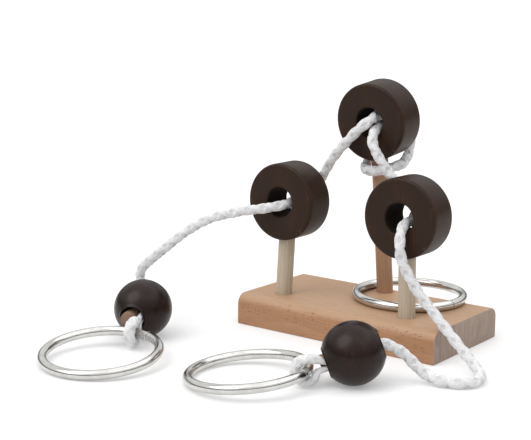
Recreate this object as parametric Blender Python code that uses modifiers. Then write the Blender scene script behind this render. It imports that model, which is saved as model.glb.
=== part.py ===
"""Metal ring and rope disentanglement puzzle: a wooden stand with three posts and wheels,
one rope threaded through the wheels, a bead at each rope end, and three steel rings.

Metres, +Z up. The origin is the middle of the stand's underside, +X is to the right along
the stand, and -Y is the front, where the rope hangs out.
"""
import math

import bmesh
import bpy
from mathutils import Matrix, Vector

MM = 0.001
CLEARANCE = 0.3 * MM

# Stand
BASE_LENGTH = 110 * MM
BASE_WIDTH = 59 * MM
BASE_THICKNESS = 15 * MM
BASE_EDGE_RADIUS = 5 * MM
BASE_CORNER = 0.5 * MM

# Posts and wheels
POST_DIAMETER = 8 * MM
POST_DEPTH_IN_BASE = 10 * MM
POST_DEPTH_IN_WHEEL = 6 * MM
FRONT_WHEEL_HEIGHT = 46.7 * MM
REAR_WHEEL_HEIGHT = 86.9 * MM
WHEEL_DIAMETER = 37.2 * MM
WHEEL_THICKNESS = 16.4 * MM
WHEEL_HOLE_DIAMETER = 13.9 * MM
WHEEL_RIM_ROUNDING = 1.2 * MM
WHEEL_HOLE_ROUNDING = 1.2 * MM

# Where each post stands on the base, how far it leans to the right and to the front,
# and the height of its wheel's centre along the post
POSTS = {
    "left": ((-38.0 * MM, -14.3 * MM), 3.0, 0.0, FRONT_WHEEL_HEIGHT),
    "right": ((31.7 * MM, -14.3 * MM), -1.2, 0.0, FRONT_WHEEL_HEIGHT),
    "rear": ((-1.2 * MM, 20.2 * MM), 0.0, 7.0, REAR_WHEEL_HEIGHT),
}

# Rings
RING_WIRE_DIAMETER = 4.4 * MM
RING_DIAMETER = 55.6 * MM
RING_RADIUS = (RING_DIAMETER - RING_WIRE_DIAMETER) / 2
RING_REST_GAP = 0.05 * MM
CAPTIVE_RING_CENTRE = (15.5 * MM, 15.7 * MM)

# Beads and the pegs that wedge the rope in them
BEAD_DIAMETER = 27.4 * MM
BEAD_BORE_DIAMETER = 11 * MM
BEAD_FLAT_DIAMETER = 12 * MM
PEG_DIAMETER = 7.2 * MM
PEG_LENGTH = 13 * MM
PEG_PROUD = 2.4 * MM
PEG_OFFSET = 1.6 * MM
LOOP_OFFSET = 3.7 * MM
BEAD_MOUTH = 12.3 * MM

# Rope
ROPE_DIAMETER = 4.8 * MM
ROPE_SIDES_SETTING = 3
ROPE_POINT_SPACING = 1.5 * ROPE_DIAMETER
ROPE_INSIDE_BEAD = 3 * MM
LOOP_SIDES_SETTING = 2

# Each bead: its centre, and the heading and the downward slope in degrees of its bore
# on the side of its ring
BEADS = {
    "left": (Vector((-75.0, -75.7, 13.75)) * MM, -71.3, 10.0),
    "right": (Vector((41.3, -73.2, 13.75)) * MM, -139.0, 20.0),
}

# The rope from the left bead to the right bead, in millimetres
ROPE_ROUTE_MM = [
    (-82.2, -54.8, 15.4),
    (-86.4, -49.2, 13.8),
    (-92.4, -46.4, 12.8),
    (-98.0, -47.4, 14.6),
    (-100.8, -50.0, 19.2),
    (-98.8, -50.8, 25.0),
    (-93.9, -51.2, 29.2),
    (-87.5, -52.0, 33.8),
    (-80.0, -51.6, 39.6),
    (-71.8, -46.6, 47.3),
    (-62.0, -40.8, 53.6),
    (-50.5, -33.6, 57.0),
    (-40.6, -26.6, 58.8),
    (-33.9, -18.4, 60.5),
    (-33.2, -9.4, 62.3),
    (-28.7, -1.4, 68.2),
    (-17.8, -1.9, 84.0),
    (-6.0, -2.0, 96.2),
    (-1.6, -1.9, 99.9),
    (0.4, 2.8, 102.7),
    (-0.8, 9.0, 104.0),
    (-5.0, 18.2, 104.0),
    (-9.6, 25.0, 97.6),
    (-11.4, 24.6, 88.0),
    (-10.6, 17.2, 80.4),
    (-8.2, 9.6, 77.8),
    (-3.2, 4.8, 77.1),
    (3.0, 4.8, 77.6),
    (8.8, 9.8, 79.8),
    (9.0, 17.0, 80.8),
    (8.0, 24.0, 86.0),
    (6.6, 26.2, 93.6),
    (4.4, 22.4, 99.6),
    (1.8, 16.0, 100.6),
    (1.0, 9.0, 98.7),
    (1.6, 3.2, 97.4),
    (2.7, -1.2, 95.4),
    (4.2, -3.2, 90.6),
    (9.6, -2.7, 82.2),
    (17.4, -1.4, 73.0),
    (26.6, -1.2, 65.2),
    (31.2, -10.4, 60.0),
    (32.3, -19.6, 59.3),
    (33.6, -25.0, 56.6),
    (34.8, -27.6, 51.6),
    (36.0, -27.4, 44.2),
    (42.0, -25.8, 33.2),
    (51.4, -25.0, 22.8),
    (66.0, -26.4, 10.0),
    (76.0, -30.4, 3.9),
    (82.6, -38.6, 2.6),
    (81.4, -48.0, 2.6),
    (72.0, -52.6, 2.6),
    (62.4, -52.6, 4.8),
    (55.8, -57.0, 12.6),
]

# Where the end loop holds the ring's wire: how far from the bead's centre, and how high
WIRE_REACH = {"left": 18.6 * MM, "right": 19.6 * MM}
WIRE_HEIGHT = 7.45 * MM
# Heading in degrees from each loose ring's centre to the place where its loop holds it
RING_HEADING = {"left": 98.7, "right": 20.7}

# How thick the loop's two strands are where the peg wedges them, as a share of the rope,
# and how far they run from the bore's middle line and from the bead's centre
WEDGED = 0.44
STRAND_OFFSET = 1.4 * MM
LOOP_INSIDE_BEAD = 6 * MM

# Materials
BEECH = ((0.60, 0.38, 0.22), 0.55, 0.0)
PALE_WOOD = ((0.66, 0.55, 0.38), 0.6, 0.0)
DARK_WOOD = ((0.035, 0.02, 0.014), 0.35, 0.0)
STEEL = ((0.62, 0.61, 0.58), 0.18, 1.0)
ROPE_WHITE = ((0.78, 0.78, 0.80), 0.8, 0.0)


def clear_scene():
    for item in list(bpy.data.objects):
        bpy.data.objects.remove(item, do_unlink=True)


def new_collection(name):
    collection = bpy.data.collections.new(name)
    bpy.context.scene.collection.children.link(collection)
    return collection


def new_material(name, look):
    colour, roughness, metallic = look
    material = bpy.data.materials.new(name)
    material.use_nodes = True
    shader = material.node_tree.nodes["Principled BSDF"]
    shader.inputs["Base Color"].default_value = (*colour, 1.0)
    shader.inputs["Roughness"].default_value = roughness
    shader.inputs["Metallic"].default_value = metallic
    return material


def new_object(name, mesh, look, collection):
    piece = bpy.data.objects.new(name, mesh)
    collection.objects.link(piece)
    if look:
        mesh.materials.append(new_material(name + "_finish", look))
    return piece


def new_empty(name, location, rotation, collection):
    empty = bpy.data.objects.new(name, None)
    empty.location = location
    empty.rotation_euler = rotation
    collection.objects.link(empty)
    return empty


def shade_round(mesh, angle=40):
    mesh.shade_smooth()
    mesh.set_sharp_from_angle(angle=math.radians(angle))


def cylinder_mesh(name, radius, low, high, sides=24, rounding=0.0):
    """A cylinder on the Z axis from low to high, with its end edges rounded."""
    build = bmesh.new()
    middle = Matrix.Translation((0, 0, (low + high) / 2))
    bmesh.ops.create_cone(build, cap_ends=True, segments=sides, radius1=radius,
                          radius2=radius, depth=high - low, matrix=middle)
    if rounding:
        rims = [edge for edge in build.edges
                if abs(edge.verts[0].co.z - edge.verts[1].co.z) < 1e-6]
        bmesh.ops.bevel(build, geom=rims, offset=rounding, segments=2, affect="EDGES")
    mesh = bpy.data.meshes.new(name)
    build.to_mesh(mesh)
    build.free()
    shade_round(mesh)
    return mesh


def profile_mesh(name, points):
    """A closed outline in the XZ plane, ready for a Screw modifier."""
    count = len(points)
    edges = [(index, (index + 1) % count) for index in range(count)]
    mesh = bpy.data.meshes.new(name)
    mesh.from_pydata([(x, 0.0, z) for x, z in points], edges, [])
    return mesh


def turn(piece, steps):
    screw = piece.modifiers.new("Turn", "SCREW")
    screw.steps = steps
    screw.render_steps = steps
    screw.use_merge_vertices = True
    screw.merge_threshold = 0.00001
    screw.use_smooth_shade = True


def arc(centre, radius, start, end, count):
    """Points on an arc in the XZ plane, angles in degrees from +X towards +Z."""
    points = []
    for index in range(count):
        angle = math.radians(start + (end - start) * index / (count - 1))
        points.append((centre[0] + radius * math.cos(angle), centre[1] + radius * math.sin(angle)))
    return points


def cut(piece, cutter):
    cutter.hide_render = True
    cutter.display_type = "WIRE"
    boolean = piece.modifiers.new("Cut " + cutter.name, "BOOLEAN")
    boolean.operation = "DIFFERENCE"
    boolean.solver = "EXACT"
    boolean.object = cutter


def lean_rotation(right_degrees, front_degrees):
    return (math.radians(front_degrees), math.radians(right_degrees), 0.0)


def make_base(parts, cutters):
    build = bmesh.new()
    bmesh.ops.create_cube(build, size=1.0)
    bmesh.ops.scale(build, vec=(BASE_LENGTH, BASE_WIDTH, BASE_THICKNESS), verts=build.verts)
    bmesh.ops.translate(build, vec=(0, 0, BASE_THICKNESS / 2), verts=build.verts)
    long_top_edges = [edge for edge in build.edges
                      if all(vert.co.z > BASE_THICKNESS / 2 for vert in edge.verts)
                      and abs(edge.verts[0].co.y - edge.verts[1].co.y) < 1e-6]
    bmesh.ops.bevel(build, geom=long_top_edges, offset=BASE_EDGE_RADIUS, segments=6,
                    profile=0.5, affect="EDGES")
    mesh = bpy.data.meshes.new("base_block")
    build.to_mesh(mesh)
    build.free()
    base = new_object("base_block", mesh, BEECH, parts)
    corner = base.modifiers.new("Corners", "BEVEL")
    corner.width = BASE_CORNER
    corner.segments = 2
    corner.limit_method = "ANGLE"
    corner.angle_limit = math.radians(40)
    shade_round(mesh, 30)
    radius = POST_DIAMETER / 2 + CLEARANCE
    for side, (place, right, front, height) in POSTS.items():
        hole = cylinder_mesh("hole_" + side, radius, -POST_DEPTH_IN_BASE - CLEARANCE, 5 * MM)
        cutter = new_object("hole_" + side, hole, None, cutters)
        cutter.location = (place[0], place[1], BASE_THICKNESS)
        cutter.rotation_euler = lean_rotation(right, front)
        cut(base, cutter)


def wheel_outline():
    """Half section of a wheel: down the rim, across, and up the hole."""
    rim = WHEEL_DIAMETER / 2
    hole = WHEEL_HOLE_DIAMETER / 2
    half = WHEEL_THICKNESS / 2
    outer = WHEEL_RIM_ROUNDING
    inner = WHEEL_HOLE_ROUNDING
    points = arc((rim - outer, half - outer), outer, 90, 0, 4)
    points += arc((rim - outer, outer - half), outer, 0, -90, 4)
    points += arc((hole + inner, inner - half), inner, -90, -180, 4)
    points += arc((hole + inner, half - inner), inner, 180, 90, 4)
    return points


def make_post_and_wheel(side, parts, cutters):
    place, right, front, height = POSTS[side]
    foot = new_empty("foot_" + side, (place[0], place[1], BASE_THICKNESS),
                     lean_rotation(right, front), parts)
    wheel_bottom = height - WHEEL_DIAMETER / 2
    post_top = wheel_bottom + POST_DEPTH_IN_WHEEL
    post_mesh = cylinder_mesh("post_" + side, POST_DIAMETER / 2, -POST_DEPTH_IN_BASE, post_top)
    post = new_object("post_" + side, post_mesh, BEECH if side == "rear" else PALE_WOOD, parts)
    post.parent = foot

    wheel_mesh = profile_mesh("wheel_" + side, wheel_outline())
    wheel = new_object("wheel_" + side, wheel_mesh, DARK_WOOD, parts)
    wheel.parent = foot
    wheel.location = (0, 0, height)
    wheel.rotation_euler = (math.radians(90), 0, 0)
    turn(wheel, 40)

    socket = cylinder_mesh("socket_" + side, POST_DIAMETER / 2 + CLEARANCE,
                           wheel_bottom - 5 * MM, post_top + CLEARANCE)
    cutter = new_object("socket_" + side, socket, None, cutters)
    cutter.parent = foot
    cut(wheel, cutter)


def make_ring(name, location, rotation, parts):
    """A ring lying in its own XY plane, with its origin where its joint's axis passes."""
    bpy.ops.mesh.primitive_torus_add(major_segments=44, minor_segments=8,
                                     major_radius=RING_RADIUS,
                                     minor_radius=RING_WIRE_DIAMETER / 2)
    ring = bpy.context.object
    ring.name = name
    ring.data.name = name
    for collection in list(ring.users_collection):
        collection.objects.unlink(ring)
    parts.objects.link(ring)
    ring.data.materials.append(new_material(name + "_finish", STEEL))
    ring.data.shade_smooth()
    ring.location = location
    ring.rotation_euler = rotation
    return ring


def heading(degrees):
    return Vector((math.cos(math.radians(degrees)), math.sin(math.radians(degrees)), 0.0))


def bore_frame(side):
    """The bead's centre, its bore's direction on the ring's side, and the level one across it."""
    centre, azimuth, slope = BEADS[side]
    down = math.radians(slope)
    outward = heading(azimuth) * math.cos(down) - Vector((0, 0, math.sin(down)))
    return centre, outward, heading(azimuth + 90)


def make_bead(side, parts):
    centre, outward, across = bore_frame(side)
    radius = BEAD_DIAMETER / 2
    flat = BEAD_FLAT_DIAMETER / 2
    bore = BEAD_BORE_DIAMETER / 2
    end_angle = math.degrees(math.acos(flat / radius))
    half = radius * math.sin(math.radians(end_angle))
    outline = arc((0, 0), radius, end_angle, -end_angle, 12)
    outline += [(bore + 0.4 * MM, -half), (bore, 0.4 * MM - half)]
    outline += [(bore, half - 0.4 * MM), (bore + 0.4 * MM, half)]
    bead = new_object("bead_" + side, profile_mesh("bead_" + side, outline), DARK_WOOD, parts)
    bead.location = centre
    bead.rotation_euler = outward.to_track_quat("Z", "Y").to_euler()
    turn(bead, 30)

    proud = half + PEG_PROUD
    mesh = cylinder_mesh("peg_" + side, PEG_DIAMETER / 2, proud - PEG_LENGTH, proud, 20,
                         0.4 * MM)
    peg = new_object("peg_" + side, mesh, PALE_WOOD, parts)
    peg.location = centre - across * PEG_OFFSET
    peg.rotation_euler = bead.rotation_euler


def smooth_route(points, spacing):
    """Points about a spacing apart on a Catmull-Rom curve through the route's own points."""
    count = len(points)
    route = []
    for index in range(count - 1):
        before = points[max(index - 1, 0)]
        start = points[index]
        end = points[index + 1]
        after = points[min(index + 2, count - 1)]
        steps = max(1, round((end - start).length / spacing))
        for step in range(steps):
            t = step / steps
            route.append(0.5 * (2 * start + (end - before) * t
                                + (2 * before - 5 * start + 4 * end - after) * t * t
                                + (3 * start - before - 3 * end + after) * t ** 3))
    route.append(points[-1])
    return route


def make_rope(name, points, thickness, sides_setting, parts):
    """A tube with filled ends along the points; thickness scales it at each point."""
    curve = bpy.data.curves.new(name, "CURVE")
    curve.dimensions = "3D"
    curve.bevel_depth = ROPE_DIAMETER / 2
    curve.bevel_resolution = sides_setting
    curve.use_fill_caps = True
    spline = curve.splines.new("POLY")
    spline.points.add(len(points) - 1)
    for knot, place, scale in zip(spline.points, points, thickness):
        knot.co = (*place, 1.0)
        knot.radius = scale
    return new_object(name, curve, ROPE_WHITE, parts)


def make_main_rope(parts):
    left_centre, left_outward, _ = bore_frame("left")
    right_centre, right_outward, _ = bore_frame("right")
    route = [left_centre - left_outward * ROPE_INSIDE_BEAD,
             left_centre - left_outward * BEAD_MOUTH]
    route += [Vector(point) * MM for point in ROPE_ROUTE_MM]
    route += [right_centre - right_outward * BEAD_MOUTH,
              right_centre - right_outward * ROPE_INSIDE_BEAD]
    points = smooth_route(route, ROPE_POINT_SPACING)
    make_rope("rope", points, [1.0] * len(points), ROPE_SIDES_SETTING, parts)


def loop_outline(side):
    """Points of the end loop in its own upright plane: out of the bead, over the ring's wire,
    round it, back under it and in again. Each is the distance from the bead's centre, the
    height and the thickness."""
    centre, azimuth, slope = BEADS[side]
    reach = WIRE_REACH[side]
    height = WIRE_HEIGHT
    wrap = (RING_WIRE_DIAMETER + ROPE_DIAMETER) / 2 + CLEARANCE
    cosine = math.cos(math.radians(slope))
    sine = math.sin(math.radians(slope))
    mouth = BEAD_MOUTH * cosine
    mouth_height = centre.z - BEAD_MOUTH * sine
    inside = LOOP_INSIDE_BEAD * cosine
    inside_height = centre.z - LOOP_INSIDE_BEAD * sine
    return [
        (inside, inside_height + STRAND_OFFSET, WEDGED),
        (mouth, mouth_height + STRAND_OFFSET, WEDGED),
        (mouth + 3.0 * MM, 12.0 * MM, 0.7),
        (reach, height + 1.04 * wrap, 1.0),
        (reach + 0.75 * wrap, height + 0.75 * wrap, 1.0),
        (reach + 1.1 * wrap, height, 1.0),
        (reach + 0.75 * wrap, height - 0.72 * wrap, 1.0),
        (reach, height - wrap, 1.0),
        (reach - 0.62 * wrap, height - 0.78 * wrap, 0.8),
        (reach - 0.86 * wrap, height - 0.1 * wrap, 0.6),
        (mouth, mouth_height - STRAND_OFFSET, WEDGED),
        (inside, inside_height - STRAND_OFFSET, WEDGED),
    ]


def loop_plane(side):
    """The loop's plane: the point on the floor below the bead that it runs from, and its heading."""
    centre, _, across = bore_frame(side)
    return Vector((centre.x, centre.y, 0)) + across * LOOP_OFFSET, heading(BEADS[side][1])


def make_end_loop(side, parts):
    middle, level = loop_plane(side)
    outline = loop_outline(side)
    points = [middle + level * reach + Vector((0, 0, height)) for reach, height, _ in outline]
    thickness = [scale for _, _, scale in outline]
    make_rope("end_loop_" + side, points, thickness, LOOP_SIDES_SETTING, parts)


def make_loose_ring(side, parts):
    """A ring held up in its bead's loop, with its far side on the table. Its origin is the
    middle of the wire in the loop, and it swings about its own Y axis."""
    middle, level = loop_plane(side)
    held = middle + level * WIRE_REACH[side] + Vector((0, 0, WIRE_HEIGHT))
    lowest = RING_WIRE_DIAMETER / 2 + RING_REST_GAP
    tilt = math.asin((WIRE_HEIGHT - lowest) / (2 * RING_RADIUS))
    pivot = new_empty("held_" + side, held, (0, 0, math.radians(RING_HEADING[side])), parts)
    ring = make_ring("ring_" + side, (0, 0, 0), (0, -tilt, 0), parts)
    ring.data.transform(Matrix.Translation((-RING_RADIUS, 0, 0)))
    ring.parent = pivot


def main():
    clear_scene()
    parts = new_collection("ring_rope_puzzle")
    cutters = new_collection("cutters")
    make_base(parts, cutters)
    for side in POSTS:
        make_post_and_wheel(side, parts, cutters)
    x, y = CAPTIVE_RING_CENTRE
    lying = BASE_THICKNESS + RING_WIRE_DIAMETER / 2 + RING_REST_GAP
    make_ring("ring_captive", (x, y, lying), (0, 0, 0), parts)
    for side in BEADS:
        make_bead(side, parts)
        make_end_loop(side, parts)
        make_loose_ring(side, parts)
    make_main_rope(parts)


main()
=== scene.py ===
"""Looks for the ring and rope disentanglement puzzle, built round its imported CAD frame.

Wooden stand with three posts and dark wheels, one braided white rope, two dark beads with
wedging pegs, and three steel rings. Metres, +Z up, -Y is the front.
"""

import math

import bmesh
import bpy
import numpy as np
from mathutils import Matrix, Vector


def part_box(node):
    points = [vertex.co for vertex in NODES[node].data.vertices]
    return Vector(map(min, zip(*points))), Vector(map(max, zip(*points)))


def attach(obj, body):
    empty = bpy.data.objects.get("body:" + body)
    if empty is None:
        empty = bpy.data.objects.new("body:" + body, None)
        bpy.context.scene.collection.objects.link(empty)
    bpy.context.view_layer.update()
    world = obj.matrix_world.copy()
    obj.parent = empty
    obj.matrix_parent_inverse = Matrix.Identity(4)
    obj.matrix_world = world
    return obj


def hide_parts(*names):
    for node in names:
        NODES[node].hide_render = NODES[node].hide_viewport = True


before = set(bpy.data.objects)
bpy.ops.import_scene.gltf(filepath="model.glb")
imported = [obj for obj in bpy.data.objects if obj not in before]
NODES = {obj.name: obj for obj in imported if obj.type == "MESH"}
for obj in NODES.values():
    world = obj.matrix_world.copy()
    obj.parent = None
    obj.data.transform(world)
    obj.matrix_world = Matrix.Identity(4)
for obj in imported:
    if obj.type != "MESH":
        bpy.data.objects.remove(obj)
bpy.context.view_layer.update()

MM = 0.001

# The rope from the left bead to the right bead, in millimetres, as the CAD lays it
ROPE_ROUTE_MM = [
    (-82.2, -54.8, 15.4),
    (-86.4, -49.2, 13.8),
    (-92.4, -46.4, 12.8),
    (-98.0, -47.4, 14.6),
    (-100.8, -50.0, 19.2),
    (-98.8, -50.8, 25.0),
    (-93.9, -51.2, 29.2),
    (-87.5, -52.0, 33.8),
    (-80.0, -51.6, 39.6),
    (-71.8, -46.6, 47.3),
    (-62.0, -40.8, 53.6),
    (-50.5, -33.6, 57.0),
    (-40.6, -26.6, 58.8),
    (-33.9, -18.4, 60.5),
    (-33.2, -9.4, 62.3),
    (-28.7, -1.4, 68.2),
    (-17.8, -1.9, 84.0),
    (-6.0, -2.0, 96.2),
    (-1.6, -1.9, 99.9),
    (0.4, 2.8, 102.7),
    (-0.8, 9.0, 104.0),
    (-5.0, 18.2, 104.0),
    (-9.6, 25.0, 97.6),
    (-11.4, 24.6, 88.0),
    (-10.6, 17.2, 80.4),
    (-8.2, 9.6, 77.8),
    (-3.2, 4.8, 77.1),
    (3.0, 4.8, 77.6),
    (8.8, 9.8, 79.8),
    (9.0, 17.0, 80.8),
    (8.0, 24.0, 86.0),
    (6.6, 26.2, 93.6),
    (4.4, 22.4, 99.6),
    (1.8, 16.0, 100.6),
    (1.0, 9.0, 98.7),
    (1.6, 3.2, 97.4),
    (2.7, -1.2, 95.4),
    (4.2, -3.2, 90.6),
    (9.6, -2.7, 82.2),
    (17.4, -1.4, 73.0),
    (26.6, -1.2, 65.2),
    (31.2, -10.4, 60.0),
    (32.3, -19.6, 59.3),
    (33.6, -25.0, 56.6),
    (34.8, -27.6, 51.6),
    (36.0, -27.4, 44.2),
    (42.0, -25.8, 33.2),
    (51.4, -25.0, 22.8),
    (66.0, -26.4, 10.0),
    (76.0, -30.4, 3.9),
    (82.6, -38.6, 2.6),
    (81.4, -48.0, 2.6),
    (72.0, -52.6, 2.6),
    (62.4, -52.6, 4.8),
    (55.8, -57.0, 12.6),
]

# Rope and its braid: two pairs of strands that wind opposite ways, over and under. Each
# strand is an oval whose middle swings in and out, round a soft core
ROPE_DIAMETER = 4.8 * MM
ROPE_INSIDE_BEAD = 3 * MM
BEAD_MOUTH = 12.3 * MM

# The braid: how far apart the strands cross, where each strand's oval lies and how far it
# swings in and out, the oval's half sizes, and the core that fills the middle
BRAID_PITCH = 7.4 * MM
STRAND_PLACE = 1.24 * MM
STRAND_SWING = 0.25 * MM
STRAND_HALF_DEPTH = 1.02 * MM
STRAND_HALF_WIDTH = 1.75 * MM
CORE_RADIUS = 1.8 * MM
GROOVE_SOFTNESS = 0.05 * MM
SKIN_SIDES = 40
RING_STEP = 0.5 * MM

# The end loops: how far each loop's middle line keeps from the bore's, how thick its two
# strands are where the peg wedges them, and how it goes round the ring's wire
LOOP_OFFSET = 3.7 * MM
LOOP_INSIDE_BEAD = 6 * MM
STRAND_OFFSET = 1.4 * MM
WEDGED = 0.5
WIRE_REACH = {"left": 18.6 * MM, "right": 19.6 * MM}
WIRE_HEIGHT = 7.45 * MM
WIRE_GAP = 0.3 * MM
LOOP_WIDENING = 1.2

# Turned and cut edges
WHEEL_RIM_ROUNDING = 1.6 * MM
WHEEL_HOLE_ROUNDING = 1.2 * MM
BEAD_MOUTH_ROUNDING = 0.9 * MM
BASE_EDGE_RADIUS = 5 * MM
BASE_CORNER = 0.6 * MM
WHEEL_SOCKET_GAP = 0.12 * MM
BASE_HOLE_GAP = 0.15 * MM
SEAM_GAP = 0.3 * MM
SEAM_ROUNDING = 0.12 * MM
RING_STATIONS = 176
WIRE_SIDES = 28
WHEEL_STEPS = 128
BEAD_STEPS = 96
DOWEL_SIDES = 64
PEG_SIDES = 40
DOWEL_END_ROUNDING = 0.3 * MM
PEG_END_ROUNDING = 0.45 * MM
# Edges sharper than this many degrees stay sharp when a mesh is shaded smooth
SHADING_ANGLE = 35
BEAD_SHADING_ANGLE = 50
SEAM_SHADING_ANGLE = 50
# Where each ring's butt joint is, in degrees round the ring from +X
SEAM_ANGLE = {"ring_captive": -11.0, "ring_left": 77.0, "ring_right": 8.0}

# Light: how bright the studio is low down, at the sides and overhead, the lamps' strength and
# width in degrees, and how white the floor is and how much it glows
WORLD_LOW = 0.06
WORLD_HIGH = 0.95
WORLD_TOP = 0.35
KEY_STRENGTH = 1.35
KEY_WIDTH = 45
TOP_STRENGTH = 1.5
TOP_WIDTH = 80
FLOOR_WHITE = 0.62
FLOOR_GLOW = 0.26

WHEEL_SIDES = ("left", "right", "rear")
BEAD_SIDES = ("left", "right")


# ---------------------------------------------------------------- reading the frame

def corners(node):
    """A CAD node's own points at rest, as an array."""
    mesh = NODES[node].data
    points = np.zeros(len(mesh.vertices) * 3)
    mesh.vertices.foreach_get("co", points)
    return points.reshape(-1, 3)


def spread_axes(node):
    """The directions a node is spread along, from the thinnest to the longest."""
    points = np.unique(corners(node).round(7), axis=0)
    _, axes = np.linalg.eigh(np.cov((points - points.mean(0)).T))
    return [Vector(axes[:, index]) for index in range(3)]


def facing(direction, towards):
    return direction if direction.dot(Vector(towards)) > 0 else -direction


def middle_in(node, axes):
    """The node's middle, and its half sizes along three square axes."""
    points = corners(node)
    middle = Vector()
    halves = []
    for axis in axes:
        along = points @ np.array(axis)
        middle += axis * float((along.min() + along.max()) / 2)
        halves.append(float((along.max() - along.min()) / 2))
    return middle, halves


def square_frame(z_axis, near_y):
    """Three square axes: Z as given, Y as near as it can be to near_y."""
    z_axis = z_axis.normalized()
    x_axis = near_y.cross(z_axis).normalized()
    return [x_axis, z_axis.cross(x_axis), z_axis]


def placing(axes, middle):
    matrix = Matrix(axes).transposed().to_4x4()
    matrix.translation = middle
    return matrix


# ---------------------------------------------------------------- building pieces

def keep_place(mesh):
    """Keeps each point's place in the piece's own axes, in millimetres, for its material."""
    points = np.zeros(len(mesh.vertices) * 3, np.float32)
    mesh.vertices.foreach_get("co", points)
    place = mesh.attributes.new("place", "FLOAT_VECTOR", "POINT")
    place.data.foreach_set("vector", points / MM)


def new_piece(name, mesh, matrix, body, nodes, material):
    """A piece of the object that stands for CAD nodes and rides on their body."""
    keep_place(mesh)
    mesh.transform(matrix)
    piece = bpy.data.objects.new(name, mesh)
    bpy.context.scene.collection.objects.link(piece)
    mesh.materials.clear()
    mesh.materials.append(material)
    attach(piece, body)
    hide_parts(*nodes)
    return piece


def shade_round(mesh, angle=SHADING_ANGLE):
    mesh.shade_smooth()
    mesh.set_sharp_from_angle(angle=math.radians(angle))


def arc(centre, radius, start, end, count):
    """Points on an arc in the XZ plane, angles in degrees from +X towards +Z."""
    points = []
    for index in range(count):
        angle = math.radians(start + (end - start) * index / (count - 1))
        points.append((centre[0] + radius * math.cos(angle), centre[1] + radius * math.sin(angle)))
    return points


def grid_faces(rows, columns, close_rows):
    """Quads between rows of points, each row a closed loop of columns points."""
    faces = []
    for row in range(rows if close_rows else rows - 1):
        below = row * columns
        above = (row + 1) % rows * columns
        for column in range(columns):
            after = (column + 1) % columns
            faces.append((below + column, below + after, above + after, above + column))
    return faces


def face_outwards(mesh):
    build = bmesh.new()
    build.from_mesh(mesh)
    bmesh.ops.recalc_face_normals(build, faces=build.faces)
    build.to_mesh(mesh)
    build.free()


def turned_mesh(name, outline, steps):
    """A closed outline of (radius, height) points turned once round the Z axis."""
    points = []
    for step in range(steps):
        angle = math.tau * step / steps
        points += [(r * math.cos(angle), r * math.sin(angle), z) for r, z in outline]
    mesh = bpy.data.meshes.new(name)
    mesh.from_pydata(points, [], grid_faces(steps, len(outline), True))
    face_outwards(mesh)
    return mesh


def rod_mesh(name, radius, low, high, sides, rounding):
    """A rod on the Z axis with rounded ends."""
    build = bmesh.new()
    middle = Matrix.Translation((0, 0, (low + high) / 2))
    bmesh.ops.create_cone(build, cap_ends=True, segments=sides, radius1=radius,
                          radius2=radius, depth=high - low, matrix=middle)
    rims = [edge for edge in build.edges
            if abs(edge.verts[0].co.z - edge.verts[1].co.z) < 1e-7]
    bmesh.ops.bevel(build, geom=rims, offset=rounding, segments=4, affect="EDGES")
    mesh = bpy.data.meshes.new(name)
    build.to_mesh(mesh)
    build.free()
    shade_round(mesh)
    return mesh


def cut_by(mesh, matrix, cutters):
    """The mesh with each cutter, a mesh and its matrix, taken out of it."""
    piece = bpy.data.objects.new("cutting", mesh)
    bpy.context.scene.collection.objects.link(piece)
    piece.matrix_world = matrix
    tools = []
    for tool_mesh, tool_matrix in cutters:
        tool = bpy.data.objects.new("tool", tool_mesh)
        bpy.context.scene.collection.objects.link(tool)
        tool.matrix_world = tool_matrix
        boolean = piece.modifiers.new("Cut", "BOOLEAN")
        boolean.operation = "DIFFERENCE"
        boolean.solver = "EXACT"
        boolean.object = tool
        tools.append(tool)
    bpy.context.view_layer.update()
    graph = bpy.context.evaluated_depsgraph_get()
    result = bpy.data.meshes.new_from_object(piece.evaluated_get(graph))
    for item in [piece, *tools]:
        bpy.data.objects.remove(item, do_unlink=True)
    shade_round(result)
    return result


# ---------------------------------------------------------------- material nodes

def new_material(name, roughness, metallic=0.0, **constants):
    material = bpy.data.materials.new(name)
    material.use_nodes = True
    shader = material.node_tree.nodes["Principled BSDF"]
    shader.inputs["Roughness"].default_value = roughness
    shader.inputs["Metallic"].default_value = metallic
    for socket, value in constants.items():
        shader.inputs[socket.replace("_", " ")].default_value = value
    return material, material.node_tree, shader


def add(tree, kind, inputs, **settings):
    """A node with its settings. Each input is a plain value or another node's output."""
    node = tree.nodes.new("ShaderNode" + kind)
    for name, value in settings.items():
        setattr(node, name, value)
    for key, value in inputs.items():
        if isinstance(value, bpy.types.NodeSocket):
            tree.links.new(value, node.inputs[key])
        else:
            node.inputs[key].default_value = value
    return node.outputs[0]


def attribute(tree, name, output="Vector"):
    node = tree.nodes.new("ShaderNodeAttribute")
    node.attribute_name = name
    return node.outputs[output]


def in_mm(tree, stretch=(1, 1, 1), shift=(0, 0, 0)):
    """The piece's own coordinates in millimetres, shifted and divided by stretch."""
    scale = [1.0 / value for value in stretch]
    move = [a / b for a, b in zip(shift, stretch)]
    return add(tree, "Mapping", {"Vector": attribute(tree, "place"), "Location": move,
                                 "Scale": scale})


def noise(tree, vector, scale=1.0, detail=3.0, roughness=0.5):
    return add(tree, "TexNoise", {"Vector": vector, "Scale": scale, "Detail": detail,
                                  "Roughness": roughness})


def between(tree, value, low, high, to_low=0.0, to_high=1.0, smooth=True):
    """The value from low to high, spread over to_low to to_high."""
    return add(tree, "MapRange", {"Value": value, "From Min": low, "From Max": high,
                                  "To Min": to_low, "To Max": to_high},
               interpolation_type="SMOOTHSTEP" if smooth else "LINEAR")


def math_node(tree, operation, first, second=0.0):
    return add(tree, "Math", {0: first, 1: second}, operation=operation)


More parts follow.
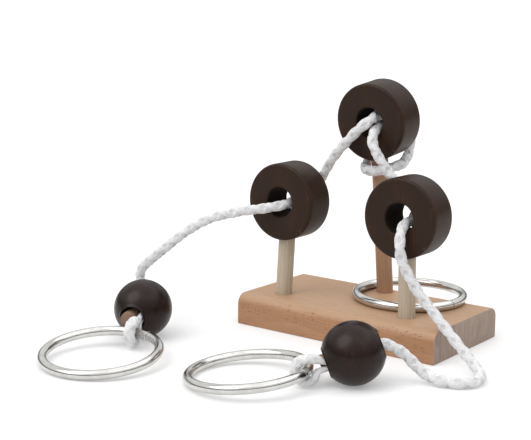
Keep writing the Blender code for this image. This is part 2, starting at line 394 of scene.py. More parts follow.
def blend_colours(tree, share, first, second, mode="MIX"):
    node = tree.nodes.new("ShaderNodeMix")
    node.data_type = "RGBA"
    node.blend_type = mode
    # The colour sockets of a Mix node are its seventh and eighth inputs
    for index, value in ((0, share), (6, first), (7, second)):
        if isinstance(value, bpy.types.NodeSocket):
            tree.links.new(value, node.inputs[index])
        elif index == 0:
            node.inputs[index].default_value = value
        else:
            node.inputs[index].default_value = (*value, 1.0)
    return node.outputs[2]


def bump(tree, height, distance, strength=1.0, below=None):
    inputs = {"Height": height, "Distance": distance, "Strength": strength}
    if below:
        inputs["Normal"] = below
    return add(tree, "Bump", inputs)


# ---------------------------------------------------------------- wood

def dashes(tree, length, width, fill, chance):
    """Short dark pores along X: one in each cell of a stretched cell pattern, or none."""
    cells = tree.nodes.new("ShaderNodeTexVoronoi")
    vector = in_mm(tree, stretch=(length, width, width))
    tree.links.new(vector, cells.inputs["Vector"])
    cells.inputs["Scale"].default_value = 1.0
    inside = between(tree, cells.outputs["Distance"], fill, fill * 0.45)
    lucky = add(tree, "SeparateColor", {"Color": cells.outputs["Color"]})
    chosen = between(tree, lucky, chance, chance + 0.12)
    return math_node(tree, "MULTIPLY", inside, chosen)


def beech_bands(tree):
    """Faint growth bands: cuts through wavering cylinders whose middle is below the block."""
    wander = noise(tree, in_mm(tree, stretch=(70, 16, 16)), detail=2.0)
    offset = add(tree, "VectorMath", {0: wander, 1: (0.5, 0.5, 0.5)}, operation="SUBTRACT")
    offset = add(tree, "VectorMath", {0: offset, 1: (0.0, 9.0, 9.0)}, operation="MULTIPLY")
    rings = add(tree, "VectorMath", {0: in_mm(tree, shift=(0, -78, -34)), 1: offset},
                operation="ADD")
    return add(tree, "TexWave", {"Vector": rings, "Scale": 0.085, "Distortion": 0.6,
                                 "Detail": 2.0, "Detail Scale": 0.4},
               wave_type="RINGS", rings_direction="X", wave_profile="SAW")


def beech_material(half_length):
    """Oiled beech, the grain along X: growth bands, fine streaks, short dark flecks in a band
    along the front, greyer sawn ends, and a top painted paler as a painted sheen."""
    material, tree, shader = new_material("beech", 0.5, Specular_IOR_Level=0.45)
    parts = tree.nodes.new("ShaderNodeSeparateXYZ")
    tree.links.new(in_mm(tree), parts.inputs[0])
    along, up = parts.outputs[0], parts.outputs[2]
    broad = noise(tree, in_mm(tree, stretch=(55, 13, 9)), detail=2.0)
    streaks = noise(tree, in_mm(tree, stretch=(9, 0.45, 0.45)), detail=4.0, roughness=0.6)
    colour = blend_colours(tree, between(tree, beech_bands(tree), 0.1, 1.0, 0.0, 0.45),
                           (0.40, 0.212, 0.108), (0.315, 0.150, 0.071))
    colour = blend_colours(tree, between(tree, broad, 0.36, 0.66, 0.0, 0.5), colour,
                           (0.41, 0.194, 0.094))
    colour = blend_colours(tree, between(tree, streaks, 0.32, 0.72, 0.0, 0.5), colour,
                           (0.272, 0.134, 0.066))
    # Painted sheen: the top is painted paler than the sides, standing in for the bright
    # surroundings it reflects
    colour = blend_colours(tree, between(tree, up, 2.5, 7.2, 0.0, 0.42), colour,
                           (0.54, 0.39, 0.255))
    flecks = math_node(tree, "MAXIMUM", dashes(tree, 4.6, 0.95, 0.30, 0.42),
                       dashes(tree, 2.4, 0.62, 0.32, 0.5))
    # The front's upper half is cut flat to the growth bands, where beech shows its flecks
    band = math_node(tree, "MULTIPLY", between(tree, up, -3.0, 0.5), between(tree, up, 6.8, 4.8))
    patches = noise(tree, in_mm(tree, stretch=(26, 7, 3.4)), detail=1.5)
    share = math_node(tree, "MULTIPLY", between(tree, patches, 0.36, 0.6, 0.25, 1.0),
                      between(tree, band, 0.0, 1.0, 0.35, 0.9))
    flecks = math_node(tree, "MULTIPLY", flecks, share)
    colour = blend_colours(tree, flecks, colour, (0.13, 0.06, 0.03))
    sawn = noise(tree, in_mm(tree, stretch=(2, 0.5, 7)), detail=3.0, roughness=0.6)
    end_colour = blend_colours(tree, between(tree, sawn, 0.3, 0.72), (0.36, 0.275, 0.22),
                               (0.22, 0.16, 0.125))
    at_end = between(tree, math_node(tree, "ABSOLUTE", along), half_length - 0.5,
                     half_length - 0.15)
    colour = blend_colours(tree, at_end, colour, end_colour)
    tree.links.new(colour, shader.inputs["Base Color"])
    rough = between(tree, streaks, 0.3, 0.8, 0.42, 0.58)
    rough = math_node(tree, "ADD", rough, math_node(tree, "MULTIPLY", at_end, 0.2))
    tree.links.new(rough, shader.inputs["Roughness"])
    relief = bump(tree, streaks, 0.05 * MM, 0.5)
    relief = bump(tree, math_node(tree, "MULTIPLY", flecks, -1.0), 0.12 * MM, 0.8, relief)
    relief = bump(tree, math_node(tree, "MULTIPLY", sawn, at_end), 0.12 * MM, 0.7, relief)
    tree.links.new(relief, shader.inputs["Normal"])
    return material


def dowel_material(name, light, dark, fleck):
    """A planed dowel with its grain along Z: long fine streaks and a few fine pores."""
    material, tree, shader = new_material(name, 0.55, Specular_IOR_Level=0.35)
    streaks = noise(tree, in_mm(tree, stretch=(0.6, 0.6, 26)), detail=4.0, roughness=0.55)
    broad = noise(tree, in_mm(tree, stretch=(3.5, 3.5, 60)), detail=2.0)
    share = math_node(tree, "MULTIPLY", between(tree, streaks, 0.34, 0.7),
                      between(tree, broad, 0.3, 0.7, 0.5, 1.0))
    colour = blend_colours(tree, share, light, dark)
    pores = noise(tree, in_mm(tree, stretch=(0.18, 0.18, 2.4)), detail=1.0)
    marks = between(tree, pores, 0.66, 0.76)
    colour = blend_colours(tree, math_node(tree, "MULTIPLY", marks, 0.5), colour, fleck)
    tree.links.new(colour, shader.inputs["Base Color"])
    tree.links.new(between(tree, streaks, 0.3, 0.8, 0.48, 0.64), shader.inputs["Roughness"])
    relief = bump(tree, streaks, 0.04 * MM, 0.6)
    relief = bump(tree, math_node(tree, "MULTIPLY", marks, -1.0), 0.05 * MM, 0.6, relief)
    tree.links.new(relief, shader.inputs["Normal"])
    return material


def stained_material(name, deep, warm, roughness, gloss, scuffs=None, bored=None):
    """Dark-stained turned wood: grain along Y, fine pores and warmer patches where the stain is
    thin. Two masks may be given: scuffs on worn edges, and the bored hole, which is made
    rougher and darkened with painted shade."""
    material, tree, shader = new_material(name, roughness, Specular_IOR_Level=gloss)
    streaks = noise(tree, in_mm(tree, stretch=(0.7, 14, 0.7)), detail=4.0, roughness=0.6)
    patches = noise(tree, in_mm(tree, stretch=(9, 24, 9)), detail=2.0)
    share = math_node(tree, "MULTIPLY", between(tree, streaks, 0.35, 0.72),
                      between(tree, patches, 0.35, 0.68, 0.25, 1.0))
    colour = blend_colours(tree, share, deep, warm)
    pores = noise(tree, in_mm(tree, stretch=(0.2, 2.2, 0.2)), detail=1.0)
    marks = between(tree, pores, 0.62, 0.74)
    colour = blend_colours(tree, math_node(tree, "MULTIPLY", marks, 0.5), colour,
                           tuple(0.3 * value for value in deep))
    rough = between(tree, streaks, 0.3, 0.8, roughness - 0.06, roughness + 0.08)
    if bored:
        inside = bored(tree)
        # Painted shade: the bore's wall is darkened, and also made rougher
        colour = blend_colours(tree, inside, colour, tuple(0.4 * value for value in deep))
        rough = math_node(tree, "MAXIMUM", rough, inside)
    if scuffs:
        colour = blend_colours(tree, scuffs(tree), colour, (0.30, 0.20, 0.13))
    tree.links.new(colour, shader.inputs["Base Color"])
    tree.links.new(rough, shader.inputs["Roughness"])
    relief = bump(tree, streaks, 0.012 * MM, 0.5)
    relief = bump(tree, math_node(tree, "MULTIPLY", marks, -1.0), 0.03 * MM, 0.5, relief)
    tree.links.new(relief, shader.inputs["Normal"])
    return material


def wheel_material():
    """The wheels' stain, with small scratches worn round the edge between face and rim."""
    _, halves = wheel_frame("rear")[1:]
    corner = (halves[0] + halves[2]) / MM

    def from_axis(tree):
        flat = add(tree, "VectorMath", {0: in_mm(tree), 1: (1.0, 1.0, 0.0)},
                   operation="MULTIPLY")
        radius = tree.nodes.new("ShaderNodeVectorMath")
        radius.operation = "LENGTH"
        tree.links.new(flat, radius.inputs[0])
        return radius.outputs["Value"]

    def inside_hole(tree):
        # The hole's wall is 6.95 mm from the axis, and its rounded lip ends at 8.15 mm
        # A mask for the hole's wall, which the stain darkens with painted shade and makes rougher
        return between(tree, from_axis(tree), 7.9, 6.9)

    def rim_scuffs(tree):
        parts = tree.nodes.new("ShaderNodeSeparateXYZ")
        tree.links.new(in_mm(tree), parts.inputs[0])
        reach = math_node(tree, "ADD", from_axis(tree),
                          math_node(tree, "ABSOLUTE", parts.outputs[2]))
        near_edge = between(tree, reach, corner - 1.7, corner - 0.9)
        scratches = noise(tree, in_mm(tree, stretch=(0.5, 0.5, 2.2)), detail=3.0, roughness=0.7)
        worn = noise(tree, in_mm(tree, stretch=(7, 7, 7)), detail=1.0)
        marks = math_node(tree, "MULTIPLY", between(tree, scratches, 0.54, 0.66),
                          between(tree, worn, 0.48, 0.6))
        return math_node(tree, "MULTIPLY", math_node(tree, "MULTIPLY", marks, near_edge), 0.55)

    return stained_material("stained_wheel", (0.023, 0.0116, 0.0068), (0.042, 0.0185, 0.0092),
                            0.42, 0.15, rim_scuffs, inside_hole)


# ---------------------------------------------------------------- steel and rope materials

def steel_material():
    """Bright nickel-plated wire: fine draw marks and a few duller places."""
    material, tree, shader = new_material("nickel", 0.14, 1.0)
    duller = noise(tree, in_mm(tree, stretch=(6, 6, 6)), detail=4.0, roughness=0.6)
    fine = noise(tree, in_mm(tree, stretch=(0.35, 0.35, 0.35)), detail=3.0, roughness=0.7)
    colour = blend_colours(tree, between(tree, duller, 0.35, 0.7), (0.66, 0.655, 0.635),
                           (0.56, 0.55, 0.53))
    tree.links.new(colour, shader.inputs["Base Color"])
    rough = math_node(tree, "ADD", between(tree, duller, 0.35, 0.75, 0.16, 0.21),
                      between(tree, fine, 0.55, 0.75, 0.0, 0.05))
    tree.links.new(rough, shader.inputs["Roughness"])
    tree.links.new(bump(tree, fine, 0.004 * MM, 0.5), shader.inputs["Normal"])
    return material


def rope_material():
    """White spun cord: fine fibres along each strand, and painted shade that greys it down in the
    grooves.
    """
    material, tree, shader = new_material("white_cord", 0.85, Sheen_Weight=0.15,
                                          Sheen_Roughness=0.5, Specular_IOR_Level=0.15)
    spun = add(tree, "Mapping", {"Vector": attribute(tree, "fibre"), "Scale": (2.4, 0.3, 1.0)})
    fibres = noise(tree, spun, detail=4.0, roughness=0.65)
    uneven = noise(tree, attribute(tree, "fibre"), scale=0.22, detail=2.0)
    # Painted shade: the deeper a point lies in the grooves between strands, the greyer it is
    # painted
    colour = blend_colours(tree, between(tree, attribute(tree, "outwards", "Fac"), 0.05, 0.7),
                           (0.60, 0.60, 0.61), (0.76, 0.755, 0.76))
    colour = blend_colours(tree, between(tree, fibres, 0.42, 0.66, 0.0, 0.7), colour,
                           (0.45, 0.445, 0.455))
    colour = blend_colours(tree, between(tree, uneven, 0.4, 0.65, 0.0, 0.25), colour,
                           (0.56, 0.56, 0.565))
    tree.links.new(colour, shader.inputs["Base Color"])
    tree.links.new(between(tree, fibres, 0.3, 0.7, 0.8, 0.95), shader.inputs["Roughness"])
    tree.links.new(bump(tree, fibres, 0.16 * MM, 0.9), shader.inputs["Normal"])
    return material


# ---------------------------------------------------------------- camera, light and floor

def make_camera():
    """The camera: where it stands, the way it looks, and how far it is turned about that."""
    stand = Vector((308.4, -488.0, 164.6)) * MM
    heading = -0.6475
    down = 0.1905
    roll = 0.0105
    forward = Vector((math.sin(heading) * math.cos(down), math.cos(heading) * math.cos(down),
                      -math.sin(down)))
    level = Vector((math.cos(heading), -math.sin(heading), 0.0))
    above = level.cross(forward)
    right = level * math.cos(roll) + above * math.sin(roll)
    up = above * math.cos(roll) - level * math.sin(roll)
    camera = bpy.data.objects.new("camera", bpy.data.cameras.new("camera"))
    bpy.context.scene.collection.objects.link(camera)
    camera.data.lens = 83.39
    camera.data.sensor_width = 36.0
    camera.data.clip_start = 0.01
    camera.data.clip_end = 100.0
    camera.matrix_world = placing([right, up, -forward], stand)
    bpy.context.scene.camera = camera


def make_sun(name, towards, strength, softness):
    """A far soft lamp: the way to it from the object, its strength and its width in degrees."""
    lamp = bpy.data.lights.new(name, "SUN")
    lamp.energy = strength
    lamp.angle = math.radians(softness)
    light = bpy.data.objects.new(name, lamp)
    bpy.context.scene.collection.objects.link(light)
    light.rotation_euler = Vector(towards).to_track_quat("Z", "Y").to_euler()


def make_world():
    """A studio all round: bright sides, darker overhead and darker still in a band low down,
    which the steel shows."""
    world = bpy.data.worlds.new("studio")
    bpy.context.scene.world = world
    world.use_nodes = True
    tree = world.node_tree
    background = tree.nodes["Background"]
    direction = tree.nodes.new("ShaderNodeTexCoord").outputs["Generated"]
    parts = tree.nodes.new("ShaderNodeSeparateXYZ")
    tree.links.new(direction, parts.inputs[0])
    background.inputs["Color"].default_value = (1.0, 1.0, 1.0, 1.0)
    walls = between(tree, parts.outputs[2], 0.10, 0.38, WORLD_LOW, WORLD_HIGH)
    overhead = between(tree, parts.outputs[2], 0.70, 0.92, 1.0, WORLD_TOP)
    level = math_node(tree, "MULTIPLY", walls, overhead)
    tree.links.new(level, background.inputs["Strength"])


def make_stage():
    """A white floor that glows a little, so that shadows on it stay faint, and the lamps."""
    floor = bpy.data.meshes.new("floor")
    reach = 40.0
    floor.from_pydata([(-reach, -reach, 0), (reach, -reach, 0), (reach, reach, 0),
                       (-reach, reach, 0)], [], [(0, 1, 2, 3)])
    table = bpy.data.objects.new("floor", floor)
    bpy.context.scene.collection.objects.link(table)
    table.location.z = -0.05 * MM
    material, _, shader = new_material("floor_white", 0.9, Specular_IOR_Level=0.0)
    shader.inputs["Base Color"].default_value = (FLOOR_WHITE, FLOOR_WHITE, FLOOR_WHITE, 1.0)
    shader.inputs["Emission Color"].default_value = (1.0, 1.0, 1.0, 1.0)
    shader.inputs["Emission Strength"].default_value = FLOOR_GLOW
    floor.materials.append(material)
    make_world()
    make_sun("key", (-0.25, -0.60, 0.76), KEY_STRENGTH, KEY_WIDTH)
    make_sun("top", (0.15, 0.10, 1.0), TOP_STRENGTH, TOP_WIDTH)
    bpy.context.scene.view_settings.view_transform = "Standard"


# ---------------------------------------------------------------- rope

def smooth_route(points, spacing):
    """Points about a spacing apart on a Catmull-Rom curve through the route's own points."""
    count = len(points)
    route = []
    for index in range(count - 1):
        before = points[max(index - 1, 0)]
        start = points[index]
        end = points[index + 1]
        after = points[min(index + 2, count - 1)]
        steps = max(1, round((end - start).length / spacing))
        for step in range(steps):
            t = step / steps
            route.append(0.5 * (2 * start + (end - before) * t
                                + (2 * before - 5 * start + 4 * end - after) * t * t
                                + (3 * start - before - 3 * end + after) * t ** 3))
    route.append(points[-1])
    return route


def evenly(points, values, step, soften):
    """The line again with points a step apart, its kinks softened, and the values that go
    with them; the ends stay."""
    line = np.array([tuple(point) for point in points])
    along = np.concatenate([[0], np.cumsum(np.linalg.norm(np.diff(line, axis=0), axis=1))])
    at = np.linspace(0, along[-1], math.ceil(along[-1] / step) + 1)
    line = np.stack([np.interp(at, along, line[:, axis]) for axis in range(3)], axis=1)
    values = [np.interp(at, along, value) for value in values]
    reach = math.ceil(3 * soften / step)
    weight = np.exp(-0.5 * (np.arange(-reach, reach + 1) * step / soften) ** 2)
    weight /= weight.sum()
    first = 2 * line[0] - line[1:reach + 1][::-1]
    last = 2 * line[-1] - line[-reach - 1:-1][::-1]
    padded = np.concatenate([first, line, last])
    line = np.stack([np.convolve(padded[:, axis], weight, "valid") for axis in range(3)], axis=1)
    return line, values


def unit(vectors):
    return vectors / np.linalg.norm(vectors, axis=-1, keepdims=True)


def carried_frames(line, first_side):
    """Two sides square to the line at each point, carried along it without twisting."""
    tangents = unit(np.gradient(line, axis=0))
    sides = np.zeros_like(line)
    side = np.array(first_side, float)
    for index, tangent in enumerate(tangents):
        side = side - tangent * (side @ tangent)
        side /= np.linalg.norm(side)
        sides[index] = side
    return sides, np.cross(tangents, sides)


def braid_radius(along, round_it, turn, ease):
    """How far the cord's skin lies from its middle line, and which strand makes it: over all
    four strands, the outermost point of each one's oval in that direction. ease, from 0 to 1,
    flattens the braid's relief."""
    phase = math.tau * along / BRAID_PITCH
    skins, offsets = [np.full((len(along), len(round_it)), CORE_RADIUS)], [0.0]
    for direction in (1, -1):
        for pair in (0, 1):
            angle = turn + math.pi * (pair + 0.5) - direction * phase / 2
            place = STRAND_PLACE + direction * STRAND_SWING * np.cos(phase)
            off = (round_it[None, :] - angle[:, None] + math.pi) % math.tau - math.pi
            place = place[:, None] * np.ones_like(off)
            a = (np.cos(off) / STRAND_HALF_DEPTH) ** 2 + (np.sin(off) / STRAND_HALF_WIDTH) ** 2
            b = -2 * place * np.cos(off) / STRAND_HALF_DEPTH ** 2
            c = (place / STRAND_HALF_DEPTH) ** 2 - 1
            inside = b * b - 4 * a * c
            reach = (-b + np.sqrt(np.maximum(inside, 0))) / (2 * a)
            skins.append(np.where((inside > 0) & (np.cos(off) > 0), reach, 0.0))
            offsets.append(off)
    skins = np.stack(skins)
    top = skins.max(axis=0)
    soft = GROOVE_SOFTNESS
    radius = top + soft * np.log(np.exp((skins - top) / soft).sum(axis=0))
    strand = skins.argmax(axis=0)
    offset = np.select([strand == index for index in range(1, 5)], offsets[1:], 0.0)
    mean = CORE_RADIUS + (STRAND_PLACE + STRAND_HALF_DEPTH - CORE_RADIUS) * 0.7
    return mean + (radius - mean) * ease, strand, offset


def braid_mesh(name, line, size, widen, first_side, turn, ease):
    """A cord of four plaited strands along a line, as one closed skin. size scales it at each
    point, and widen stretches it across the plane of the line's bends."""
    sides, others = carried_frames(line, first_side)
    step = np.linalg.norm(np.diff(line, axis=0), axis=1)
    along = np.concatenate([[0], np.cumsum(step)])
    round_it = math.tau * np.arange(SKIN_SIDES) / SKIN_SIDES
    radius, strand, offset = braid_radius(along, round_it, turn, ease)
    uneven = 1 + 0.020 * np.sin(along / (7.3 * MM)) + 0.012 * np.sin(along / (2.9 * MM) + 2)
    reach = radius * (size * uneven)[:, None]
    points = (line[:, None, :] + (np.cos(round_it) * reach)[:, :, None] * sides[:, None, :]
              + (np.sin(round_it) * reach * widen[:, None])[:, :, None] * others[:, None, :])
    # Where the cord lies on the floor it is pressed flat
    points[:, :, 2] = np.maximum(points[:, :, 2], 0.02 * MM)
    rows = len(line)
    faces = [tuple(reversed(face)) for face in grid_faces(rows, SKIN_SIDES, False)]
    faces.append(tuple(range(SKIN_SIDES)))
    faces.append(tuple(reversed(range((rows - 1) * SKIN_SIDES, rows * SKIN_SIDES))))
    mesh = bpy.data.meshes.new(name)
    mesh.from_pydata(points.reshape(-1, 3).tolist(), [], faces)
    face_outwards(mesh)
    # How far out the skin lies, from the core to the strands' tops, which the cord's material uses
    # to paint shade into the grooves
    outermost = STRAND_PLACE + STRAND_SWING + STRAND_HALF_DEPTH
    outwards = np.clip((radius - CORE_RADIUS) / (outermost - CORE_RADIUS), 0, 1)
    mesh.attributes.new("outwards", "FLOAT", "POINT").data.foreach_set(
        "value", outwards.astype(np.float32).reshape(-1))
    fibre = np.stack([offset * radius / MM, np.repeat(along[:, None], SKIN_SIDES, 1) / MM,
                      strand * 7.0], axis=2)
    mesh.attributes.new("fibre", "FLOAT_VECTOR", "POINT").data.foreach_set(
        "vector", fibre.astype(np.float32).reshape(-1))
    mesh.shade_smooth()
    return mesh


def make_rope(beads, material):
    left_middle, left_out, _ = beads["left"]
    right_middle, right_out, _ = beads["right"]
    exit_point = left_middle - left_out * BEAD_MOUTH
    route = [left_middle - left_out * ROPE_INSIDE_BEAD, exit_point]
    route += [Vector(point) * MM for point in ROPE_ROUTE_MM]
    route += [right_middle - right_out * BEAD_MOUTH, right_middle - right_out * ROPE_INSIDE_BEAD]
    points = smooth_route(route, 1 * MM)
    line, _ = evenly(points, [], RING_STEP, 1.6 * MM)
    full = np.ones(len(line))
    mesh = braid_mesh("braided_rope", line, full, full, (0, 0, 1), 0.6, 1.0)
    rope = new_piece("braided_rope", mesh, Matrix.Identity(4), "stand", ["rope"], material)


def loop_outline(middle, out, side):
    """Points of an end loop in its own upright plane: out of the bead, over the ring's wire,
    round it, back under it and in again. Each is the distance from the bead's centre, the
    height, the thickness and the widening across the plane."""
    wire_radius = ring_sizes("ring_" + side)[1]
    reach = WIRE_REACH[side]
    height = WIRE_HEIGHT
    wrap = wire_radius + ROPE_DIAMETER / 2 + WIRE_GAP
    cosine = math.hypot(out.x, out.y)
    sine = -out.z
    mouth = BEAD_MOUTH * cosine
    mouth_height = middle.z - BEAD_MOUTH * sine
    inside = LOOP_INSIDE_BEAD * cosine
    inside_height = middle.z - LOOP_INSIDE_BEAD * sine
    return [
        (inside, inside_height + STRAND_OFFSET, WEDGED, 1.0),
        (mouth, mouth_height + STRAND_OFFSET, WEDGED, 1.0),
        (mouth + 3.0 * MM, 12.0 * MM, 0.74, 1.05),
        (reach, height + 1.04 * wrap, 0.98, LOOP_WIDENING),
        (reach + 0.75 * wrap, height + 0.75 * wrap, 0.98, LOOP_WIDENING),
        (reach + 1.1 * wrap, height, 0.98, LOOP_WIDENING),
        (reach + 0.75 * wrap, height - 0.72 * wrap, 0.98, LOOP_WIDENING),
        (reach, height - wrap, 0.96, LOOP_WIDENING),
        (reach - 0.62 * wrap, height - 0.78 * wrap, 0.84, 1.1),
        (reach - 0.86 * wrap, height - 0.1 * wrap, 0.7, 1.0),
        (mouth, mouth_height - STRAND_OFFSET, WEDGED, 1.0),
        (inside, inside_height - STRAND_OFFSET, WEDGED, 1.0),
    ]


def make_end_loop(side, bead, material):
    middle, out, across = bead
    foot = Vector((middle.x, middle.y, 0)) + across * LOOP_OFFSET
    level = Vector((out.x, out.y, 0)).normalized()
    outline = loop_outline(middle, out, side)
    points = [foot + level * reach + Vector((0, 0, height)) for reach, height, _, _ in outline]
    fine = smooth_route(points, 1 * MM)
    steps = [max(1, round((b - a).length / MM)) for a, b in zip(points, points[1:])]
    marks = np.cumsum([0] + steps)
    scale = np.interp(np.arange(marks[-1] + 1), marks, [point[2] for point in outline])
    wide = np.interp(np.arange(marks[-1] + 1), marks, [point[3] for point in outline])
    line, (scale, wide) = evenly(fine, [scale, wide], RING_STEP * 0.7, 0.8 * MM)
    in_plane = level.cross(Vector((0, 0, 1))).cross(points[1] - points[0])
    name = "braided_loop_" + side
    mesh = braid_mesh(name, line, scale, wide, in_plane, 0.4, 0.6)
    loop = new_piece(name, mesh, Matrix.Identity(4), "stand", ["end_loop_" + side],
                     material)


# ---------------------------------------------------------------- wooden pieces

def post_frame(side):
    """The post's own axes, Z up along it and Y near the back, with its middle and half sizes."""
    along = facing(spread_axes("post_" + side)[2], (0, 0, 1))
    axes = square_frame(along, Vector((0, 1, 0)))
    return axes, *middle_in("post_" + side, axes)


def make_posts(pale, rear):
    for side in WHEEL_SIDES:
        axes, middle, halves = post_frame(side)
        mesh = rod_mesh("dowel_" + side, halves[0], -halves[2], halves[2], DOWEL_SIDES,
                        DOWEL_END_ROUNDING)
        new_piece("dowel_" + side, mesh, placing(axes, middle), "stand", ["post_" + side],
                  rear if side == "rear" else pale)


def post_cutter(side, gap):
    axes, middle, halves = post_frame(side)
    mesh = rod_mesh("post_hole", halves[0] + gap, -halves[2] - gap, halves[2] + gap,
                    DOWEL_SIDES, 0.1 * MM)
    return mesh, placing(axes, middle)


def wheel_frame(side):
    """A wheel's axes, Z out of its front face and Y up its post, its middle and half sizes."""
    front = facing(spread_axes("wheel_" + side)[0], (0, -1, 0))
    axes = square_frame(front, post_frame(side)[0][2])
    return axes, *middle_in("wheel_" + side, axes)


def make_wheels(material):
    """Turned wheels with a rounded rim and a softly rounded hole, each bored for its post."""
    for side in WHEEL_SIDES:
        node = "wheel_" + side
        axes, middle, halves = wheel_frame(side)
        rim, half = halves[0], halves[2]
        local = (corners(node) - np.array(middle)) @ np.array(axes).T
        hole = float(np.hypot(local[:, 0], local[:, 1]).min())
        outer, inner = WHEEL_RIM_ROUNDING, WHEEL_HOLE_ROUNDING
        outline = arc((rim - outer, half - outer), outer, 90, 0, 9)
        outline += arc((rim - outer, outer - half), outer, 0, -90, 9)
        outline += arc((hole + inner, inner - half), inner, -90, -180, 11)
        outline += arc((hole + inner, half - inner), inner, 180, 90, 11)
        mesh = turned_mesh("turned_" + node, outline, WHEEL_STEPS)
        matrix = placing(axes, middle)
        mesh = cut_by(mesh, matrix, [post_cutter(side, WHEEL_SOCKET_GAP)])
        new_piece("turned_" + node, mesh, matrix, "stand", [node], material)


def make_base():
    low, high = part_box("base_block")
    size = high - low
    build = bmesh.new()
    bmesh.ops.create_cube(build, size=1.0)
    bmesh.ops.scale(build, vec=size, verts=build.verts)
    long_top = [edge for edge in build.edges
                if all(vert.co.z > 0 for vert in edge.verts)
                and abs(edge.verts[0].co.y - edge.verts[1].co.y) < 1e-7]
    bmesh.ops.bevel(build, geom=long_top, offset=BASE_EDGE_RADIUS, segments=12,
                    profile=0.5, affect="EDGES")
    sharp = [edge for edge in build.edges if edge.calc_face_angle() > math.radians(40)]
    bmesh.ops.bevel(build, geom=sharp, offset=BASE_CORNER, segments=3, profile=0.5,
                    affect="EDGES")
    mesh = bpy.data.meshes.new("oiled_base")
    build.to_mesh(mesh)
    build.free()
    matrix = Matrix.Translation((low + high) / 2)
    mesh = cut_by(mesh, matrix, [post_cutter(side, BASE_HOLE_GAP) for side in WHEEL_SIDES])
    new_piece("oiled_base", mesh, matrix, "stand", ["base_block"],
              beech_material(size.x / 2 / MM))


def bead_frame(side):
    """A bead's centre, its bore's direction on the ring's side, and the level one across it."""
    low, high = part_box("bead_" + side)
    middle = (low + high) / 2
    ring_low, ring_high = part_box("ring_" + side)
    to_ring = (ring_low + ring_high) / 2 - middle
    out = facing(spread_axes("peg_" + side)[2], to_ring)
    across = Vector((0, 0, 1)).cross(out).normalized()
    return middle, out, across


def make_bead(side, bead, material):
    """A turned ball, flattened a little and softly rounded where its bore comes out."""
    _, out, _ = bead
    axes = square_frame(out, Vector((0, 0, 1)))
    middle, halves = middle_in("bead_" + side, axes)
    local = (corners("bead_" + side) - np.array(middle)) @ np.array(axes).T
    away = np.hypot(local[:, 0], local[:, 1])
    bore = float(away.min())
    radius = halves[0]
    half = halves[2]
    lip = BEAD_MOUTH_ROUNDING
    flat = bore + lip
    end_angle = math.degrees(math.atan2(half, flat + 0.9 * MM))
    outline = arc((0, 0), radius, end_angle, -end_angle, 40)
    outline += arc((bore + lip, lip - half), lip, -90, -180, 6)
    outline += arc((bore + lip, half - lip), lip, 180, 90, 6)
    mesh = turned_mesh("lacquered_bead_" + side, outline, BEAD_STEPS)
    shade_round(mesh, BEAD_SHADING_ANGLE)
    new_piece("lacquered_bead_" + side, mesh, placing(axes, middle), "stand",
              ["bead_" + side], material)


def make_peg(side, material):
    axes = square_frame(spread_axes("peg_" + side)[2], Vector((0, 0, 1)))
    middle, halves = middle_in("peg_" + side, axes)
    mesh = rod_mesh("cut_peg_" + side, halves[0], -halves[2], halves[2], PEG_SIDES,
                    PEG_END_ROUNDING)
    new_piece("cut_peg_" + side, mesh, placing(axes, middle), "stand", ["peg_" + side],
              material)


# ---------------------------------------------------------------- rings

def ring_sizes(node):
    """The radius of a ring's middle line, and its wire's."""
    _, halves = middle_in(node, square_frame(spread_axes(node)[0], Vector((0, 1, 0))))
    return halves[0] - halves[2], halves[2]


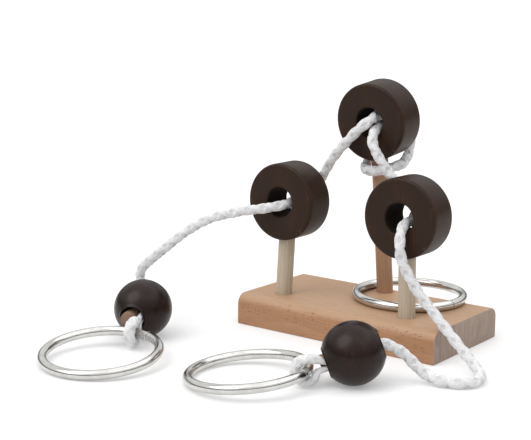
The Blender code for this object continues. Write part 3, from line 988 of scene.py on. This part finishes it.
def make_ring(node, body, material):
    """A wire bent round until its ends all but meet, the cut ends a little rounded."""
    up = facing(spread_axes(node)[0], (0, 0, 1))
    right = up.cross(Vector((1, 0, 0)).cross(up)).normalized()
    axes = square_frame(up, up.cross(right))
    middle, _ = middle_in(node, axes)
    radius, wire = ring_sizes(node)
    end = []
    for share in (0, 22, 45, 68, 90):
        back = 1 - math.cos(math.radians(share))
        inwards = 1 - math.sin(math.radians(share))
        end.append(((SEAM_GAP / 2 + SEAM_ROUNDING * back) / radius,
                    wire - SEAM_ROUNDING * inwards))
    first = end[-1][0]
    stations = end + [(first + (math.tau - 2 * first) * index / RING_STATIONS, wire)
                      for index in range(1, RING_STATIONS)]
    stations += [(math.tau - angle, size) for angle, size in reversed(end)]
    start = math.radians(SEAM_ANGLE[node])
    points = []
    for angle, size in stations:
        heading = Vector((math.cos(start + angle), math.sin(start + angle), 0.0))
        for corner in range(WIRE_SIDES):
            turn = math.tau * corner / WIRE_SIDES
            points.append(heading * (radius + size * math.cos(turn))
                          + Vector((0, 0, size * math.sin(turn))))
    faces = grid_faces(len(stations), WIRE_SIDES, False)
    faces.append(tuple(reversed(range(WIRE_SIDES))))
    faces.append(tuple((len(stations) - 1) * WIRE_SIDES + corner
                       for corner in range(WIRE_SIDES)))
    mesh = bpy.data.meshes.new("wire_" + node)
    mesh.from_pydata(points, [], faces)
    face_outwards(mesh)
    shade_round(mesh, SEAM_SHADING_ANGLE)
    new_piece("wire_" + node, mesh, placing(axes, middle), body, [node], material)


# ---------------------------------------------------------------- the whole

def main():
    make_camera()
    beads = {side: bead_frame(side) for side in BEAD_SIDES}
    cord = rope_material()
    make_rope(beads, cord)
    for side in BEAD_SIDES:
        make_end_loop(side, beads[side], cord)
    make_stage()
    make_base()
    make_posts(dowel_material("pale_dowel", (0.50, 0.425, 0.325), (0.40, 0.325, 0.235),
                              (0.28, 0.21, 0.14)),
               dowel_material("beech_dowel", (0.44, 0.265, 0.162), (0.33, 0.185, 0.106),
                              (0.16, 0.085, 0.045)))
    make_wheels(wheel_material())
    bead_finish = stained_material("stained_bead", (0.0090, 0.0034, 0.0022),
                                   (0.024, 0.0076, 0.0032), 0.33, 0.24)
    peg_finish = dowel_material("peg_end", (0.30, 0.190, 0.132), (0.22, 0.135, 0.090),
                                (0.13, 0.075, 0.045))
    for side in BEAD_SIDES:
        make_bead(side, beads[side], bead_finish)
        make_peg(side, peg_finish)
    steel = steel_material()
    make_ring("ring_captive", "captive_ring", steel)
    make_ring("ring_left", "left_ring", steel)
    make_ring("ring_right", "right_ring", steel)


main()
